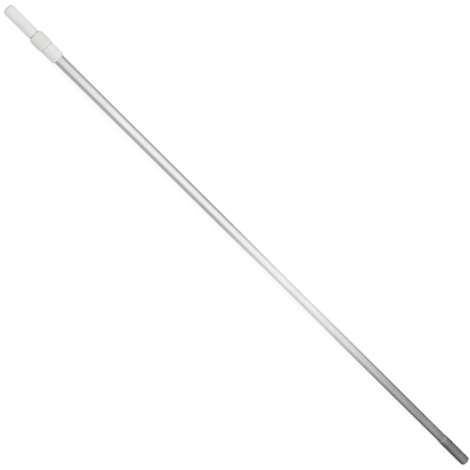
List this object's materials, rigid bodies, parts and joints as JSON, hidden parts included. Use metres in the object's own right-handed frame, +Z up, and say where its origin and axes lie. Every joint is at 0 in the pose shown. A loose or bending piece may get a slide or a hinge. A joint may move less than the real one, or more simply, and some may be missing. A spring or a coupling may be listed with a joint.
{
  "type": "telescopic extension pole",
  "caption": "Telescopic aluminium extension pole with a twist lock, a moulded hand grip and a swaged tool socket with clip holes.",
  "frame": {"origin": "centre of the tool socket's mouth, on the pole's axis", "axes": "+X along the pole's axis, out of the tool socket's mouth; the hand grip is towards -X; +Z is up, along the axis of the clip holes"},
  "size_m": [1.9412, 0.0406, 0.0406],
  "materials": {
    "anodised_tube": "satin anodised, fine lengthwise drawing lines",
    "white_moulding": "fine moulded texture, low gloss",
    "bearing_plastic": "smooth acetal",
    "plug_plastic": "smooth black polyethylene",
    "screw_steel": "zinc plated"
  },
  "bodies": {
    "outer_pole": {"outer_tube": "anodised_tube", "guide_bush": "bearing_plastic", "ferrule": "white_moulding", "ferrule_screws": "screw_steel"},
    "collet_ring": {"collet": "bearing_plastic"},
    "nut": {"lock_nut": "white_moulding"},
    "slide_ring": {"guide_ring": "bearing_plastic"},
    "inner_pole": {"inner_tube": "anodised_tube", "tail_plug": "plug_plastic", "head_plug": "plug_plastic", "hand_grip": "white_moulding", "grip_screw": "screw_steel"}
  },
  "joints": [
    {"name": "collet_release", "type": "slide", "parent": "outer_pole", "child": "collet_ring", "axis": [-1, 0, 0], "range_m": [0, 0.00133]},
    {"name": "nut_turn", "type": "hinge", "parent": "collet_ring", "child": "nut", "pos_m": [-1.82, 0, 0], "axis": [-1, 0, 0], "range_deg": [0, 120]},
    {"name": "telescope", "type": "slide", "parent": "outer_pole", "child": "slide_ring", "axis": [-1, 0, 0], "range_m": [0, 1.5675]},
    {"name": "inner_spin", "type": "hinge", "parent": "slide_ring", "child": "inner_pole", "pos_m": [-1, 0, 0], "axis": [-1, 0, 0], "continuous": true}
  ],
  "couplings": [
    {"joint": "collet_release", "follows": "nut_turn", "m_per_rad": 0.00063662}
  ]
}
